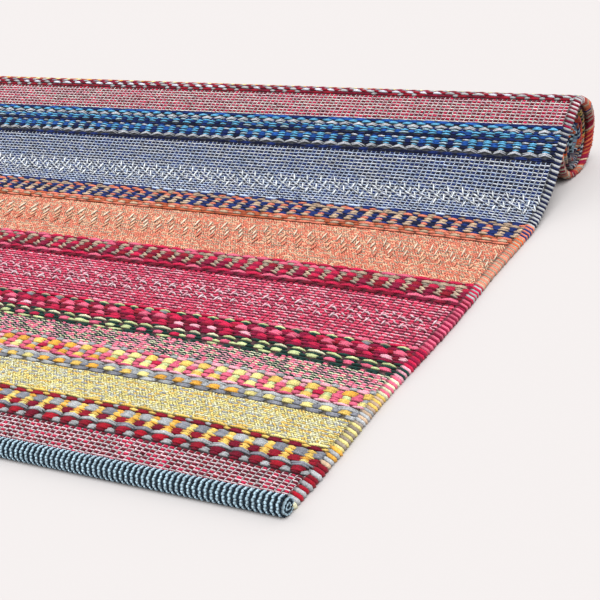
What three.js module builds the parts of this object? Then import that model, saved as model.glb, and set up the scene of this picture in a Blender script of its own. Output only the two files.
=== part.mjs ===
// A flat-woven dhurrie, 0.75 m wide, lying face up with its far part rolled under itself.
//
// The rug is one piece of cloth, so it is one closed solid. It is first described as it is woven,
// flat, by three measures: "across" from selvedge to selvedge, "along" from the near hem to the
// far hem, and "level" through the thickness, from the back of the cloth to its face. Then every
// point is laid on the line that the cloth follows: flat on the floor, up a gentle slope, over the
// top of the roll, down its back, and round and round inwards to the far hem at the core.
//
// Units are millimetres, +Z is up, +Y runs from the near hem to the roll, +X is the right selvedge.

import * as THREE from 'three';
import { mergeVertices } from 'three/addons/utils/BufferGeometryUtils.js';

// The cloth as it is woven.
const WIDTH = 750;
const LENGTH = 1350;
const CLOTH = 6;

// The rolled hem at each end of the warp, and the rows of points that round it.
const HEM_DEPTH = 14;
const HEM_HEIGHT = 12.5;
const FAR_HEM_HEIGHT = 11;
const HEM_ROWS = 5;
const HEM_FOOT = 3;

// Bands of long floats stand a little proud of the plain stripes.
const BAND_RISE = 1.2;
const BAND_SHOULDER = 3;

// How the weft bows back towards the near hem beside each selvedge, and where along the cloth the
// bow grows and fades away.
const BOW = 7.5;
const BOW_REACH = 150;
const BOW_CURVE = 1.6;
const BOW_GROWS = { from: 10, to: 60 };
const BOW_FADES = { from: 520, to: 640 };

// The cloth's sideways shifts: the gentle in and out of the selvedges, the swell to the right
// before the slope, and how far the inner turns sit in from the outer turn's right end.
const WAVER = [
  { size: 1.1, wave: 37, start: 0 },
  { size: 0.7, wave: 83, start: 1.2 },
];
const SWELL = 2.2;
const SWELL_GROWS = { from: 90, to: 260 };
const SWELL_FADES = { from: 400, to: 540 };
const WAVER_FADES = { from: 560, to: 660 };
const RECESS = 6;
const RECESS_GROWS = { from: 700, to: 860 };

// The middle of the outer turn, and the distance from one turn of cloth to the next.
const ROLL_CENTRE = { along: 653.5, up: 40 };
const TURN_PITCH = 6.5;

// The roll's left end has sagged, and the cloth there has slipped towards the near hem.
const SAG = 0.1;
const SAG_GROWS = { from: 440, to: 600 };
const SLIP = 6.5;
const SLIP_GROWS = { from: 470, to: 600 };

// Distances of a selvedge's rows from the edge, and how full the cloth's thickness is there.
const SELVEDGE_ROWS = [
  { inset: 0, fullness: 0.45 },
  { inset: 2.2, fullness: 0.86 },
  { inset: 6, fullness: 1 },
];
const SELVEDGE_ROUNDING = 1.4;
const CROSS_ROWS = [40, 90, 150];

// Bands of long floats, from the near hem. Each starts and ends this far along the cloth.
const BANDS = [
  { from: 46, to: 84 },
  { from: 121, to: 161 },
  { from: 189, to: 235 },
  { from: 313, to: 357 },
  { from: 448, to: 498 },
  { from: 586, to: 628 },
];

// The middle of the cloth's thickness where it leaves the floor and climbs on to the roll. The
// last two rows lie over the roll's front, 60 and 30 degrees before its top.
const SLOPE = [
  { along: 420, up: 3 },
  { along: 446, up: 3 },
  { along: 467, up: 3.1 },
  { along: 488, up: 4.3 },
  { along: 511, up: 7.8 },
  { along: 533, up: 14 },
  { along: 553, up: 22.2 },
  { along: 573, up: 33.2 },
  { along: 592.5, up: 46 },
  { along: 612, up: 58.4 },
  { along: 633, up: 69.8 },
];

// The outer turn, by the angle from the roll's top towards its back: how far the cloth's face is
// from the roll's middle, and how much room is left between it and the turn inside it.
const OUTER_TURN = [
  { angle: 0, radius: 40, room: 0.4 },
  { angle: 30, radius: 40.5, room: 1.5 },
  { angle: 60, radius: 46, room: 4.5 },
  { angle: 90, radius: 54, room: 8.5 },
  { angle: 120, radius: 52.4, room: 7 },
  { angle: 150, radius: 44.6, room: 2 },
  { angle: 180, radius: 40, room: 0 },
  { angle: 210, radius: 41.2, room: 0 },
  { angle: 240, radius: 45.4, room: 1.5 },
  { angle: 270, radius: 46.4, room: 2.6 },
];
const FRONT_ROOM = 1;
const POINTS_PER_TURN = 12;

// How much rounder each turn is than the one outside it, as a share of the way from each point
// to the middle of its neighbours.
const TURN_ROUNDING = 0.34;
const INNER_POINTS = 33;

// The last of the cloth, curled up in the roll's core.
const CORE_CURL = [
  { along: 649.5, up: 26.2 },
  { along: 643.6, up: 29 },
  { along: 639.8, up: 34.2 },
  { along: 641.4, up: 40 },
  { along: 646.8, up: 43.8 },
  { along: 653.5, up: 45 },
  { along: 660, up: 42.6 },
  { along: 662.4, up: 36.6 },
  { along: 660, up: 30 },
];

// The largest distance that a straight facet may cut inside a round stretch of the cloth, the
// longest facet, and the length over which the line's bend is measured.
const FACET_SAG = 0.3;
const FLAT_STEP = 70;
const LONGEST_SHARE = 1.35;
const BEND_REACH = 4;
const LEAST_TURN = 1e-4;
const LINE_DIVISIONS = 6000;

/** A step from 0 to 1 over a stretch, that starts and ends gently. */
function ease(place, { from, to }) {
  return THREE.MathUtils.smoothstep(place, from, to);
}

/** The points of the outer turn, from its top to its front. */
function outerTurnPoints() {
  return OUTER_TURN.map(({ angle, radius }) => {
    const turned = THREE.MathUtils.degToRad(angle);
    const reach = radius - CLOTH / 2;
    const along = ROLL_CENTRE.along + reach * Math.sin(turned);
    return new THREE.Vector3(0, along, ROLL_CENTRE.up + reach * Math.cos(turned));
  });
}

/** The middle of two points. */
function between(start, end) {
  return start.clone().lerp(end, 0.5);
}

/** Adds the inner turns, each lying inside the turn before it. */
function addInnerTurns(points) {
  const room = OUTER_TURN.map((row) => row.room);
  const outerStart = points.length - OUTER_TURN.length;
  for (let count = 0; count < INNER_POINTS; count += 1) {
    const outside = points.length - POINTS_PER_TURN;
    const [before, here, after] = points.slice(outside - 1, outside + 2);
    const ahead = after.clone().sub(before).normalize();
    const inward = new THREE.Vector3(0, ahead.z, -ahead.y);
    const extra = outside < outerStart ? FRONT_ROOM : room[outside - outerStart] ?? 0;
    const next = here.clone().lerp(between(before, after), TURN_ROUNDING);
    points.push(next.addScaledVector(inward, TURN_PITCH + extra));
  }
}

/** The line that the middle of the cloth's thickness follows, from the near hem to the far hem. */
function clothLine() {
  const points = [];
  for (let along = 0; along < SLOPE[0].along; along += FLAT_STEP) {
    points.push(new THREE.Vector3(0, along, CLOTH / 2));
  }
  SLOPE.forEach(({ along, up }) => points.push(new THREE.Vector3(0, along, up)));
  points.push(...outerTurnPoints());
  addInnerTurns(points);
  CORE_CURL.forEach(({ along, up }) => points.push(new THREE.Vector3(0, along, up)));
  const curve = new THREE.CatmullRomCurve3(points, false, 'centripetal');
  curve.arcLengthDivisions = LINE_DIVISIONS;
  return curve;
}

const line = clothLine();
const lineLength = line.getLength();

/** The line's point, its direction and the direction of the cloth's face, at a length along it. */
function lineFrame(along) {
  const share = THREE.MathUtils.clamp(along / lineLength, 0, 1);
  const point = line.getPointAt(share);
  const ahead = line.getTangentAt(share);
  const facing = new THREE.Vector3(0, -ahead.z, ahead.y);
  return { point, ahead, facing };
}

/** How sharply the line bends there, as a radius. */
function bendRadius(along) {
  const start = lineFrame(along - BEND_REACH).ahead;
  const end = lineFrame(along + BEND_REACH).ahead;
  return (2 * BEND_REACH) / Math.max(start.angleTo(end), LEAST_TURN);
}

/** The distances from a hem's edge that get a row of points, closest together at its sides. */
function hemRows() {
  const rows = Array.from({ length: HEM_ROWS }, (_, row) => {
    const turned = ((row + 0.5) * Math.PI) / HEM_ROWS;
    return (HEM_DEPTH / 2) * (1 - Math.cos(turned));
  });
  return [...rows, HEM_DEPTH + HEM_FOOT];
}

/** The places along the cloth that get a row of points. */
function stationsAlong() {
  const places = hemRows().flatMap((distance) => [distance, LENGTH - distance]);
  BANDS.forEach(({ from, to }) => {
    places.push(from, from + BAND_SHOULDER, to - BAND_SHOULDER, to);
  });
  places.sort((a, b) => a - b);
  const filled = [places[0]];
  places.slice(1).forEach((next) => {
    let last = filled[filled.length - 1];
    for (;;) {
      const radius = Math.min(bendRadius(last), bendRadius(last + 2 * BEND_REACH));
      const step = Math.min(Math.sqrt(8 * radius * FACET_SAG), FLAT_STEP);
      if (next - last < step * LONGEST_SHARE) break;
      last += step;
      filled.push(last);
    }
    filled.push(next);
  });
  return filled;
}

/** The places across the cloth that get a row of points, with their fullness. */
function stationsAcross() {
  const half = WIDTH / 2;
  const right = [
    ...SELVEDGE_ROWS.map(({ inset, fullness }) => ({ across: half - inset, fullness })),
    ...CROSS_ROWS.map((inset) => ({ across: half - inset, fullness: 1 })),
  ];
  const left = right.map(({ across, fullness }) => ({ across: -across, fullness }));
  return [...left, ...right.reverse()];
}

/** How full a hem's round section is at a distance from its edge, from 0 to 1. */
function hemRoundness(distance) {
  const half = HEM_DEPTH / 2;
  return Math.sqrt(Math.max(0, 1 - ((distance - half) / half) ** 2));
}

/** The near hem's levels: a round tube that stands on the floor and runs into the cloth. */
function nearHemLevels(distance) {
  const half = HEM_HEIGHT / 2;
  const face = half + half * hemRoundness(distance);
  const back = half - half * hemRoundness(distance);
  if (distance < HEM_DEPTH / 2) return { face, back };
  return { face: Math.max(face, CLOTH), back: 0 };
}

/** The far hem's levels: the same tube, folded to the back of the cloth. */
function farHemLevels(distance) {
  const half = FAR_HEM_HEIGHT / 2;
  const face = CLOTH - half + half * hemRoundness(distance);
  const back = CLOTH - half - half * hemRoundness(distance);
  if (distance < HEM_DEPTH / 2) return { face, back };
  return { face: CLOTH, back: Math.min(back, 0) };
}

/** The levels of the cloth's face and back at a place along it, from the plain cloth's back. */
function levelsAt(along) {
  if (along < HEM_DEPTH) return nearHemLevels(along);
  if (LENGTH - along < HEM_DEPTH) return farHemLevels(LENGTH - along);
  const band = BANDS.find(({ from, to }) => along >= from && along <= to);
  if (!band) return { face: CLOTH, back: 0 };
  const edge = Math.min(along - band.from, band.to - along);
  return { face: CLOTH + BAND_RISE * Math.min(edge / BAND_SHOULDER, 1), back: 0 };
}

/** How far the weft has slipped towards the near hem, at a place on the cloth. */
function bowAt(along, across) {
  const beside = 1 - (WIDTH / 2 - Math.abs(across)) / BOW_REACH;
  const grown = ease(along, BOW_GROWS) - ease(along, BOW_FADES);
  return BOW * grown * Math.max(beside, 0) ** BOW_CURVE;
}

/** How far the cloth has shifted sideways, to the right, at a place along it. */
function sidewaysAt(along) {
  const wavers = WAVER.map(({ size, wave, start }) => size * Math.sin(along / wave + start));
  const waver = wavers.reduce((sum, shift) => sum + shift, 0) * (1 - ease(along, WAVER_FADES));
  const swell = SWELL * (ease(along, SWELL_GROWS) - ease(along, SWELL_FADES));
  return waver + swell - RECESS * ease(along, RECESS_GROWS);
}

/** Lays a point of the woven cloth where the cloth lies. The roll is pressed flat on the floor. */
function lay(across, along, level) {
  const leftward = 0.5 - across / WIDTH;
  const slip = SLIP * leftward * ease(along, SLIP_GROWS);
  const { point, facing } = lineFrame(along - bowAt(along, across) - slip);
  const placed = point.clone().addScaledVector(facing, level - CLOTH / 2);
  const sag = SAG * leftward * ease(placed.y, SAG_GROWS);
  placed.x = across + sidewaysAt(along);
  placed.z = Math.max(placed.z, 0) * (1 - sag);
  return placed;
}

/** The dhurrie's solid: a box of rows and columns whose points are laid on the line. */
function dhurrieGeometry() {
  const alongRows = stationsAlong();
  const acrossRows = stationsAcross();
  const columns = acrossRows.length - 1;
  const rows = alongRows.length - 1;
  const box = new THREE.BoxGeometry(columns, rows, 2, columns, rows, 2);
  box.deleteAttribute('normal');
  box.deleteAttribute('uv');
  const geometry = mergeVertices(box);
  const position = geometry.getAttribute('position');
  for (let index = 0; index < position.count; index += 1) {
    const column = Math.round(position.getX(index) + columns / 2);
    const row = Math.round(position.getY(index) + rows / 2);
    const side = Math.round(position.getZ(index));
    const along = alongRows[row];
    const { across, fullness } = acrossRows[column];
    const { face, back } = levelsAt(along);
    const middle = (face + back) / 2;
    const level = middle + side * fullness * ((face - back) / 2);
    const atEdge = column === 0 || column === columns;
    const inset = atEdge && side !== 0 ? SELVEDGE_ROUNDING * Math.sign(across) : 0;
    const placed = lay(across - inset, along, level);
    position.setXYZ(index, placed.x, placed.y, placed.z);
  }
  geometry.computeVertexNormals();
  geometry.computeBoundingBox();
  const { min, max } = geometry.boundingBox;
  geometry.translate(-(min.x + max.x) / 2, -(min.y + max.y) / 2, -min.z);
  return geometry;
}

const cotton = new THREE.MeshStandardMaterial({ color: 0xb8607a, roughness: 0.95, metalness: 0 });

const dhurrie = new THREE.Mesh(dhurrieGeometry(), cotton);
dhurrie.name = 'dhurrie';

const rug = new THREE.Group();
rug.add(dhurrie);

export default rug;
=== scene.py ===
"""The looks of a flat-woven dhurrie that lies face up, with its far part rolled under itself.

Sizes are in millimetres of cloth until a piece is laid, and in metres after that. A place on the
cloth is given as it is woven, flat: "across" from the middle to the right selvedge, "along" from
the near hem to the far one, and "level" up from the back of the cloth to its face.
"""

import logging
import math
from dataclasses import dataclass, field
from enum import Enum

import bmesh
import bpy
import numpy as np
from mathutils import Matrix, Vector


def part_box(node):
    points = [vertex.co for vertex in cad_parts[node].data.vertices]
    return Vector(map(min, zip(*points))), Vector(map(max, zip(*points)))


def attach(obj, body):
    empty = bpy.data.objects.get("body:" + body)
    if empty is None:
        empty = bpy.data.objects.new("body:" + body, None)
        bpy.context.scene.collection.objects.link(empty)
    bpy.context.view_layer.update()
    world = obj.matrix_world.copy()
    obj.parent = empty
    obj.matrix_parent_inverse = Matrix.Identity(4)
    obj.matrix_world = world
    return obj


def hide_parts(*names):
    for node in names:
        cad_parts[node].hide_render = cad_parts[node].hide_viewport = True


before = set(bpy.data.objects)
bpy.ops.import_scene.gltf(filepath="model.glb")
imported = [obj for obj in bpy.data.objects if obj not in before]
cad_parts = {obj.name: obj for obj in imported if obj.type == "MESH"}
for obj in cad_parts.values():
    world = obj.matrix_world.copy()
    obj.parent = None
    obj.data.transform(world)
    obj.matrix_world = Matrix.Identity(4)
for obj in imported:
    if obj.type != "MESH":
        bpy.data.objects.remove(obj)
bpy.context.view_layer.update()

log = logging.getLogger("dhurrie")

METRES = 0.001
BODY = "root"
NODE = "dhurrie"
SEED = 7


class Yarn(Enum):
    """The dyed cottons, as they look in soft daylight, in sRGB from 0 to 255."""

    INK = (4, 34, 54)
    ICE = (188, 218, 234)
    GREY = (178, 181, 184)
    ASH = (140, 142, 152)
    PEWTER = (200, 204, 212)
    RED = (176, 24, 44)
    BRICK = (150, 24, 44)
    MAROON = (124, 18, 44)
    YELLOW = (246, 206, 108)
    AMBER = (240, 178, 74)
    STRAW = (244, 230, 150)
    CREAM = (234, 232, 196)
    ROSE = (234, 106, 136)
    BLUSH = (248, 176, 192)
    CRIMSON = (204, 34, 76)
    WINE = (140, 20, 60)
    BOTTLE = (26, 62, 56)
    CELERY = (214, 226, 164)
    SALMON = (232, 134, 108)
    PEACH = (252, 192, 156)
    ORANGE = (240, 104, 50)
    RUST = (196, 98, 64)
    BEIGE = (190, 164, 142)
    TAUPE = (160, 146, 132)
    SAND = (214, 184, 154)
    NAVY = (30, 50, 112)
    MIDNIGHT = (22, 30, 64)
    ROYAL = (42, 96, 180)
    CYAN = (112, 194, 238)
    MIST = (196, 212, 240)
    SILVER = (222, 228, 240)
    PEARL = (244, 234, 232)
    OYSTER = (216, 202, 206)
    PETAL = (240, 206, 214)
    IVORY = (255, 232, 206)
    WHITE = (242, 248, 252)

    @property
    def linear(self) -> np.ndarray:
        """The colour as linear light."""
        value = np.array(self.value, float) / 255.0
        return np.where(value <= 0.04045, value / 12.92, ((value + 0.055) / 1.055) ** 2.4)


@dataclass(frozen=True)
class Way:
    """A point of the line that the cloth follows on the slope or in the core."""

    along: float
    up: float


@dataclass(frozen=True)
class Turn:
    """A point of the outer turn, by its angle from the roll's top towards its back."""

    angle: float
    radius: float
    room: float


@dataclass
class Lie:
    """Where the cloth lies: flat, up the slope, and round and round to the core of the roll."""

    width: float = 750.0
    length: float = 1350.0
    cloth: float = 6.0
    first_row: float = 0.34
    flat_step: float = 70.0
    bow: float = 7.5
    bow_reach: float = 150.0
    bow_curve: float = 1.6
    swell: float = 2.2
    recess: float = 6.0
    sag: float = 0.1
    slip: float = 6.5
    turn_pitch: float = 6.5
    turn_rounding: float = 0.34
    points_per_turn: int = 12
    inner_points: int = 33
    front_room: float = 1.0
    half_step: float = 0.5
    bow_grows: tuple[float, float] = (10.0, 60.0)
    bow_fades: tuple[float, float] = (520.0, 640.0)
    swell_grows: tuple[float, float] = (90.0, 260.0)
    swell_fades: tuple[float, float] = (400.0, 540.0)
    waver_fades: tuple[float, float] = (560.0, 660.0)
    recess_grows: tuple[float, float] = (700.0, 860.0)
    slip_grows: tuple[float, float] = (470.0, 600.0)
    sag_grows: tuple[float, float] = (440.0, 600.0)
    wavers: tuple[tuple[float, float, float], ...] = ((1.1, 37.0, 0.0), (0.7, 83.0, 1.2))
    centre: Way = Way(653.5, 40.0)
    slope: tuple[Way, ...] = (
        Way(420, 3), Way(446, 3), Way(467, 3.1), Way(488, 4.3), Way(511, 7.8), Way(533, 14),
        Way(553, 22.2), Way(573, 33.2), Way(592.5, 46), Way(612, 58.4), Way(633, 69.8),
    )
    outer_turn: tuple[Turn, ...] = (
        Turn(0, 40, 0.4), Turn(30, 40.5, 1.5), Turn(60, 46, 4.5), Turn(90, 54, 8.5),
        Turn(120, 52.4, 7), Turn(150, 44.6, 2), Turn(180, 40, 0), Turn(210, 41.2, 0),
        Turn(240, 45.4, 1.5), Turn(270, 46.4, 2.6),
    )
    core_curl: tuple[Way, ...] = (
        Way(649.5, 26.2), Way(643.6, 29), Way(639.8, 34.2), Way(641.4, 40), Way(646.8, 43.8),
        Way(653.5, 45), Way(660, 42.6), Way(662.4, 36.6), Way(660, 30),
    )

    def __post_init__(self) -> None:
        """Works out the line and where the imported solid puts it."""
        self.line = self._curve(self._points())
        steps = np.linalg.norm(np.diff(self.line, axis=0), axis=1)
        self.gone = np.concatenate([[0.0], np.cumsum(steps)])
        low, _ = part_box(NODE)
        self.shift = np.array([
            low.x / METRES + self.width / 2 + self.recess,
            low.y / METRES - self.first_row,
            low.z / METRES,
        ])

    def _points(self) -> np.ndarray:
        """The line's points, from the near hem to the far hem."""
        flat = [(along, self.cloth / 2) for along in np.arange(0, self.slope[0].along, self.flat_step)]
        points = [np.array(point) for point in flat]
        points += [np.array([way.along, way.up]) for way in self.slope]
        outer_start = len(points)
        for turn in self.outer_turn:
            reach = turn.radius - self.cloth / 2
            angle = math.radians(turn.angle)
            offset = np.array([math.sin(angle), math.cos(angle)]) * reach
            points.append(np.array([self.centre.along, self.centre.up]) + offset)
        for _ in range(self.inner_points):
            outside = len(points) - self.points_per_turn
            before, here, after = points[outside - 1:outside + 2]
            ahead = (after - before) / np.linalg.norm(after - before)
            inward = np.array([ahead[1], -ahead[0]])
            order = outside - outer_start
            room = self.front_room if order < 0 else 0.0
            if 0 <= order < len(self.outer_turn):
                room = self.outer_turn[order].room
            rounded = here + (0.5 * (before + after) - here) * self.turn_rounding
            points.append(rounded + inward * (self.turn_pitch + room))
        points += [np.array([way.along, way.up]) for way in self.core_curl]
        return np.array(points)

    @staticmethod
    def _curve(points: np.ndarray, per_point: int = 200) -> np.ndarray:
        """A centripetal Catmull-Rom curve through the points."""
        ends = (2 * points[0] - points[1], 2 * points[-1] - points[-2])
        held = np.vstack([ends[0], points, ends[1]])
        share = (np.arange(per_point) / per_point)[:, None]
        pieces = []
        for index in range(len(points) - 1):
            p0, p1, p2, p3 = held[index:index + 4]
            gap0, gap1, gap2 = (np.linalg.norm(b - a) ** 0.5 for a, b in ((p0, p1), (p1, p2), (p2, p3)))
            leave = ((p1 - p0) / gap0 - (p2 - p0) / (gap0 + gap1) + (p2 - p1) / gap1) * gap1
            arrive = ((p2 - p1) / gap1 - (p3 - p1) / (gap1 + gap2) + (p3 - p2) / gap2) * gap1
            square = -3 * p1 + 3 * p2 - 2 * leave - arrive
            cube = 2 * p1 - 2 * p2 + leave + arrive
            pieces.append(p1 + leave * share + square * share**2 + cube * share**3)
        pieces.append(points[-1:])
        return np.vstack(pieces)

    @staticmethod
    def ease(value: np.ndarray, start: float, end: float) -> np.ndarray:
        """A step from 0 to 1 that starts and ends gently."""
        share = np.clip((value - start) / (end - start), 0, 1)
        return share * share * (3 - 2 * share)

    def bow_at(self, along: np.ndarray, across: np.ndarray) -> np.ndarray:
        """How far the weft has slipped towards the near hem."""
        beside = np.clip(1 - (self.width / 2 - np.abs(across)) / self.bow_reach, 0, 1)
        grown = self.ease(along, *self.bow_grows) - self.ease(along, *self.bow_fades)
        return self.bow * grown * beside**self.bow_curve

    def sideways_at(self, along: np.ndarray) -> np.ndarray:
        """How far the cloth has shifted to the right."""
        waver = sum(size * np.sin(along / length + lead) for size, length, lead in self.wavers)
        waver = waver * (1 - self.ease(along, *self.waver_fades))
        swollen = self.ease(along, *self.swell_grows) - self.ease(along, *self.swell_fades)
        return waver + self.swell * swollen - self.recess * self.ease(along, *self.recess_grows)

    def lay(self, across: np.ndarray, along: np.ndarray, level: np.ndarray) -> np.ndarray:
        """Lays places of the woven cloth where the cloth lies.

        Args:
            across: distances from the middle of the cloth, in mm.
            along: distances from the near hem, in mm.
            level: heights above the cloth's back, in mm.

        Returns:
            Points in the shared frame, in metres, with one more axis than the arguments.
        """
        leftward = 0.5 - across / self.width
        slip = self.slip * leftward * self.ease(along, *self.slip_grows)
        gone = along - self.bow_at(along, across) - slip
        reach = self.half_step
        here = [np.interp(gone, self.gone, self.line[:, axis]) for axis in (0, 1)]
        late = [np.interp(gone + reach, self.gone, self.line[:, axis]) for axis in (0, 1)]
        soon = [np.interp(gone - reach, self.gone, self.line[:, axis]) for axis in (0, 1)]
        ahead = [b - a for a, b in zip(soon, late)]
        size = np.hypot(*ahead)
        height = level - self.cloth / 2
        y = here[0] - ahead[1] / size * height
        sag = self.sag * leftward * self.ease(y, *self.sag_grows)
        z = np.maximum(here[1] + ahead[0] / size * height, 0) * (1 - sag)
        laid = np.stack([across + self.sideways_at(along), y, z], axis=-1)
        return (laid + self.shift) * METRES


@dataclass(frozen=True)
class Form:
    """A small shape that is repeated: u runs along the yarn, v across it and w up, from -1 to 1."""

    points: np.ndarray
    loops: np.ndarray
    sizes: np.ndarray
    twist: np.ndarray

    @classmethod
    def _read(cls, mesh: bmesh.types.BMesh) -> "Form":
        """Reads the finished shape and frees its bmesh."""
        mesh.verts.ensure_lookup_table()
        mesh.verts.index_update()
        points = np.array([vert.co[:] for vert in mesh.verts])
        loops = np.array([vert.index for face in mesh.faces for vert in face.verts])
        sizes = np.array([len(face.verts) for face in mesh.faces])
        around = np.arctan2(points[:, 2], points[:, 1]) / math.tau
        twist = np.stack([points[:, 0], around], axis=-1)
        mesh.free()
        return cls(points, loops, sizes, twist)

    @classmethod
    def knot(cls, sides: int = 6, top_size: float = 0.4, ridge: float = 0.42) -> "Form":
        """The short hump of yarn that shows where a weft passes over one warp.

        Args:
            sides: how many sides its foot has.
            top_size: how wide its top is before that is drawn to a ridge.
            ridge: how far the ridge reaches each way along the yarn.

        Returns:
            The form.
        """
        mesh = bmesh.new()
        bmesh.ops.create_cone(
            mesh, cap_ends=True, segments=sides, radius1=1, radius2=top_size, depth=1,
        )
        quarter = Matrix.Rotation(math.pi / 2, 3, "Z")
        bmesh.ops.rotate(mesh, cent=(0, 0, 0), matrix=quarter, verts=mesh.verts)
        if max(vert.co.x for vert in mesh.verts) < 0.99:
            turned = Matrix.Rotation(math.pi / sides, 3, "Z")
            bmesh.ops.rotate(mesh, cent=(0, 0, 0), matrix=turned, verts=mesh.verts)
        bmesh.ops.translate(mesh, vec=(0, 0, 0.5), verts=mesh.verts)
        top = [vert for vert in mesh.verts if vert.co.z > 0.9]
        left = [vert for vert in top if vert.co.x < 0]
        right = [vert for vert in top if vert.co.x > 0]
        bmesh.ops.pointmerge(mesh, verts=left, merge_co=(-ridge, 0, 1))
        bmesh.ops.pointmerge(mesh, verts=right, merge_co=(ridge, 0, 1))
        return cls._read(mesh)

    @classmethod
    def strand(cls, sides: int = 4, rings: int = 4, fullness: float = 1.15) -> "Form":
        """A length of yarn, closed at both ends.

        Args:
            sides: how many sides its section has.
            rings: how many stretches it has along its length.
            fullness: 1 for a round spindle, and less for a yarn with blunter ends.

        Returns:
            The form.
        """
        mesh = bmesh.new()
        bmesh.ops.create_uvsphere(mesh, u_segments=sides, v_segments=rings, radius=1)
        upright = Matrix.Rotation(math.pi / 2, 3, "Y")
        bmesh.ops.rotate(mesh, cent=(0, 0, 0), matrix=upright, verts=mesh.verts)
        for vert in mesh.verts:
            girth = math.hypot(vert.co.y, vert.co.z)
            if girth > 0.01:
                vert.co.yz *= girth ** (fullness - 1)
        return cls._read(mesh)


@dataclass
class Places:
    """Where the copies of a form go, each value an array with one number a copy."""

    across: np.ndarray
    along: np.ndarray
    level: np.ndarray
    length: np.ndarray
    width: np.ndarray
    rise: np.ndarray
    turn: np.ndarray
    arch: np.ndarray
    dye: np.ndarray

    @classmethod
    def joined(cls, parts: list["Places"]) -> "Places":
        """All the places of a list, as one."""
        names = cls.__dataclass_fields__
        return cls(**{name: np.concatenate([getattr(part, name) for part in parts]) for name in names})


@dataclass
class Loom:
    """Turns forms and places into joined meshes that lie on the cloth."""

    lie: Lie
    # bright is a painted highlight: the gain on the colour at the tops of the stitches.
    bright: float = 1.14
    edge: float = 5.2
    pieces: list[bpy.types.Object] = field(default_factory=list)

    def spread(self, form: Form, places: Places) -> np.ndarray:
        """The copies' points on the face of the cloth, in metres.

        Args:
            form: the shape that is copied.
            places: where its copies go.

        Returns:
            An array of copies by points by three.
        """
        u, v, w = form.points.T
        cos = np.cos(places.turn)[:, None]
        sin = np.sin(places.turn)[:, None]
        run = places.length[:, None] / 2 * u
        aside = places.width[:, None] / 2 * v
        across = places.across[:, None] + run * cos - aside * sin
        limit = self.lie.width / 2 - self.edge
        across = np.clip(across, -limit, limit)
        bend = places.arch[:, None] * (1 - u * u)
        along = places.along[:, None] + run * sin + aside * cos + bend
        level = places.level[:, None] + places.rise[:, None] * w
        return self.lie.lay(across, along, level)

    def mesh(
        self, name: str, form: Form, points: np.ndarray, dye: np.ndarray, painted_end_shade: float = 0.0,
        deep: float = 0.34,
    ) -> bpy.types.Object:
        """Makes one joined mesh of the copies.

        Args:
            name: the piece's name.
            form: the shape that is copied.
            points: the copies' points, in metres.
            dye: each copy's linear colour.
            painted_end_shade: how much painted shade darkens each copy towards its two ends, from 0 to 1.
            deep: how bright the painted shade leaves the foot of each copy, from 0 to 1.

        Returns:
            The new object, which rides on the body.
        """
        copies, size = points.shape[:2]
        starts = (np.arange(copies) * size)[:, None]
        loops = (form.loops[None, :] + starts).ravel()
        sizes = np.tile(form.sizes, copies)
        mesh = bpy.data.meshes.new(name)
        mesh.vertices.add(copies * size)
        mesh.vertices.foreach_set("co", points.astype(np.float32).ravel())
        mesh.loops.add(len(loops))
        mesh.loops.foreach_set("vertex_index", loops.astype(np.int32))
        mesh.polygons.add(len(sizes))
        firsts = np.concatenate([[0], np.cumsum(sizes)[:-1]])
        mesh.polygons.foreach_set("loop_start", firsts.astype(np.int32))
        mesh.polygons.foreach_set("use_smooth", np.ones(len(sizes), bool))
        mesh.update(calc_edges=True)
        colour = np.ones((copies, size, 4), np.float32)
        # Painted shade at the foot of each copy and a painted highlight at its top, with painted shade
        # towards its two ends.
        painted_light = deep + (self.bright - deep) * np.clip(form.points[:, 2], 0, 1)
        painted_light = painted_light * (1 - painted_end_shade * np.abs(form.points[:, 0]) ** 3)
        colour[:, :, :3] = dye[:, None, :] * painted_light[None, :, None]
        # The dye attribute holds the yarn colour times this painted shade and painted highlight.
        layer = mesh.color_attributes.new(name="dye", type="FLOAT_COLOR", domain="POINT")
        layer.data.foreach_set("color", colour.ravel())
        twist = mesh.uv_layers.new(name="twist")
        spun = np.tile(form.twist[form.loops], (copies, 1))
        twist.data.foreach_set("uv", spun.astype(np.float32).ravel())
        piece = bpy.data.objects.new(name, mesh)
        bpy.context.scene.collection.objects.link(piece)
        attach(piece, BODY)
        self.pieces.append(piece)
        triangles = int((form.sizes - 2).sum()) * copies
        log.info("%s: %d stitches, %d triangles", name, copies, triangles)
        return piece


@dataclass(frozen=True)
class Row:
    """A row of alike floats across the cloth.

    along, arch, rise and level are in mm, pitch, length and width in warp steps of 5 mm, phase in
    pitches, and turn and scatter in degrees. With 0 plies, the width says how many there are.
    """

    along: float
    yarns: tuple[Yarn, ...]
    phase: float = 0.0
    length: float = 2.0
    width: float = 0.8
    arch: float = 0.0
    turn: float = 0.0
    rise: float = 1.7
    level: float = 5.6
    pitch: float = 3.0
    scatter: float = 3.0
    plies: int = 0


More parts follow.
